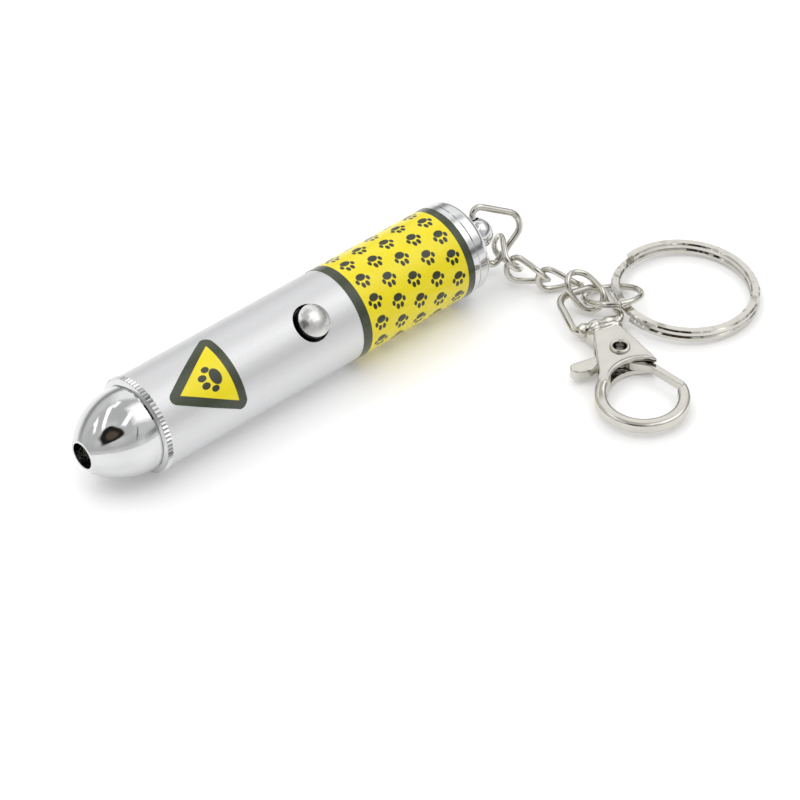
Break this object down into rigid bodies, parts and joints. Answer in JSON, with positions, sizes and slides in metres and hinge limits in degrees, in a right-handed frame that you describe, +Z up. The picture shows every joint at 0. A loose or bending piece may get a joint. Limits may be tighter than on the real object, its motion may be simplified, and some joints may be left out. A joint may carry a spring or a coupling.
{
  "type": "keychain laser pointer",
  "caption": "Bullet-shaped metal laser pointer for cats, with a push button, a tail cap with a drilled ball, a twisted-link chain, a split key ring and a swivel trigger clasp.",
  "frame": {"origin": "middle of the whole object's box, on the floor that it lies on", "axes": "+X along the barrel from the nose to the keychain, +Z up, the keychain lies toward -Y"},
  "size_m": [0.1012, 0.0512, 0.0145],
  "materials": {
    "tube_metal": "satin",
    "label_film": "printed film, yellow between two dark olive bands",
    "decal_film": "printed film, yellow with a dark olive border",
    "chrome_plate": "bright chrome",
    "nickel_plate": "bright nickel",
    "clasp_plate": "nickel plate on a casting",
    "brass": "turned",
    "spring_steel": "drawn wire",
    "cell_steel": "nickel plated can",
    "black_plastic": "moulded",
    "board": "solder mask",
    "lens": "clear",
    "sleeve": "thin insulating tube"
  },
  "bodies": {
    "barrel": {"barrel_tube": "tube_metal", "label_wrap": "label_film", "triangle_decal": "decal_film", "laser_housing": "brass", "lens_retainer": "brass", "lens": "lens", "lens_spring": "spring_steel", "laser_diode": "brass", "carrier": "black_plastic", "circuit_board": "board", "push_switch": "black_plastic", "driver_chip": "black_plastic", "chip_resistors": "black_plastic", "contact_spring": "spring_steel", "battery_sleeve": "sleeve", "button_cell_1": "cell_steel", "button_cell_2": "cell_steel", "button_cell_3": "cell_steel"},
    "button": {"push_button": "nickel_plate", "switch_plunger": "black_plastic"},
    "nose_carriage": {"nose_washer": "black_plastic"},
    "nose": {"nose_cone": "chrome_plate"},
    "tail_carriage": {"tail_spring": "spring_steel"},
    "tail": {"tail_cap": "chrome_plate"},
    "bail": {"bail": "nickel_plate"},
    "link_1": {"chain_link_1": "nickel_plate"},
    "link_2": {"chain_link_2": "nickel_plate"},
    "link_3": {"chain_link_3": "nickel_plate"},
    "link_4": {"chain_link_4": "nickel_plate"},
    "jump_ring": {"jump_ring": "nickel_plate"},
    "split_ring": {"split_ring": "nickel_plate"},
    "swivel": {"swivel_eye": "clasp_plate"},
    "clasp": {"clasp_body": "clasp_plate", "clasp_rivet": "nickel_plate", "trigger_spring": "spring_steel"},
    "trigger": {"clasp_trigger": "clasp_plate"}
  },
  "joints": [
    {"name": "button_press", "type": "slide", "parent": "barrel", "child": "button", "axis": [0, 0.6101, -0.7923], "range_m": [0, 0.0005], "stiffness_N_per_m": 1500, "springref_m": -0.0003},
    {"name": "nose_advance", "type": "slide", "parent": "barrel", "child": "nose_carriage", "axis": [-1, 0, 0], "range_m": [0, 0.00375]},
    {"name": "nose_screw", "type": "hinge", "parent": "nose_carriage", "child": "nose", "pos_m": [-0.05061, 0.01836, 0.0072], "axis": [-1, 0, 0], "range_deg": [0, 1800]},
    {"name": "tail_advance", "type": "slide", "parent": "barrel", "child": "tail_carriage", "axis": [1, 0, 0], "range_m": [0, 0.00375]},
    {"name": "tail_screw", "type": "hinge", "parent": "tail_carriage", "child": "tail", "pos_m": [0.01449, 0.01836, 0.0072], "axis": [1, 0, 0], "range_deg": [0, 1800]},
    {"name": "bail_swing", "type": "hinge", "parent": "tail", "child": "bail", "pos_m": [0.02129, 0.01836, 0.0072], "axis": [0, 0.4368, 0.8996], "range_deg": [-25, 35]},
    {"name": "link_1_swing", "type": "hinge", "parent": "bail", "child": "link_1", "pos_m": [0.02372, 0.01583, 0.00323], "axis": [0.8265, 0.0661, 0.5591], "range_deg": [-25, 25]},
    {"name": "link_2_swing", "type": "hinge", "parent": "link_1", "child": "link_2", "pos_m": [0.02229, 0.01282, 0.00472], "axis": [0.0527, -0.7206, -0.6913], "range_deg": [-25, 25]},
    {"name": "link_3_swing", "type": "hinge", "parent": "link_2", "child": "link_3", "pos_m": [0.02463, 0.00793, 0.0039], "axis": [0.5355, -0.4484, -0.7157], "range_deg": [-25, 5]},
    {"name": "link_4_swing", "type": "hinge", "parent": "link_3", "child": "link_4", "pos_m": [0.02687, 0.00499, 0.0039], "axis": [0.3551, -0.8853, -0.3003], "range_deg": [-20, 20]},
    {"name": "jump_ring_swing", "type": "hinge", "parent": "link_4", "child": "jump_ring", "pos_m": [0.02581, 0.00144, 0.00168], "axis": [0.3176, -0.6002, -0.7341], "range_deg": [-8, 4]},
    {"name": "split_ring_swing", "type": "hinge", "parent": "jump_ring", "child": "split_ring", "pos_m": [0.03368, 0.00203, 0.0006], "axis": [0.6587, -0.7389, 0.1418], "range_deg": [0, 25]},
    {"name": "swivel_eye_swing", "type": "hinge", "parent": "jump_ring", "child": "swivel", "pos_m": [0.02765, 0.00245, 0.00161], "axis": [-0.6707, -0.6459, 0.3648], "range_deg": [-4, 4]},
    {"name": "clasp_swivel", "type": "hinge", "parent": "swivel", "child": "clasp", "pos_m": [0.0242, -0.00524, 0.00178], "axis": [-0.3305, -0.9438, 0], "continuous": true},
    {"name": "trigger_pull", "type": "hinge", "parent": "clasp", "child": "trigger", "pos_m": [0.02246, -0.01019, 0.00178], "axis": [0, 0, -1], "range_deg": [0, 25], "stiffness_Nm_per_rad": 0.02, "springref_deg": -20.05, "deforming": ["trigger_spring"]}
  ],
  "couplings": [
    {"joint": "nose_screw", "follows": "nose_advance", "rad_per_m": 8377.6},
    {"joint": "tail_screw", "follows": "tail_advance", "rad_per_m": 8377.6}
  ]
}
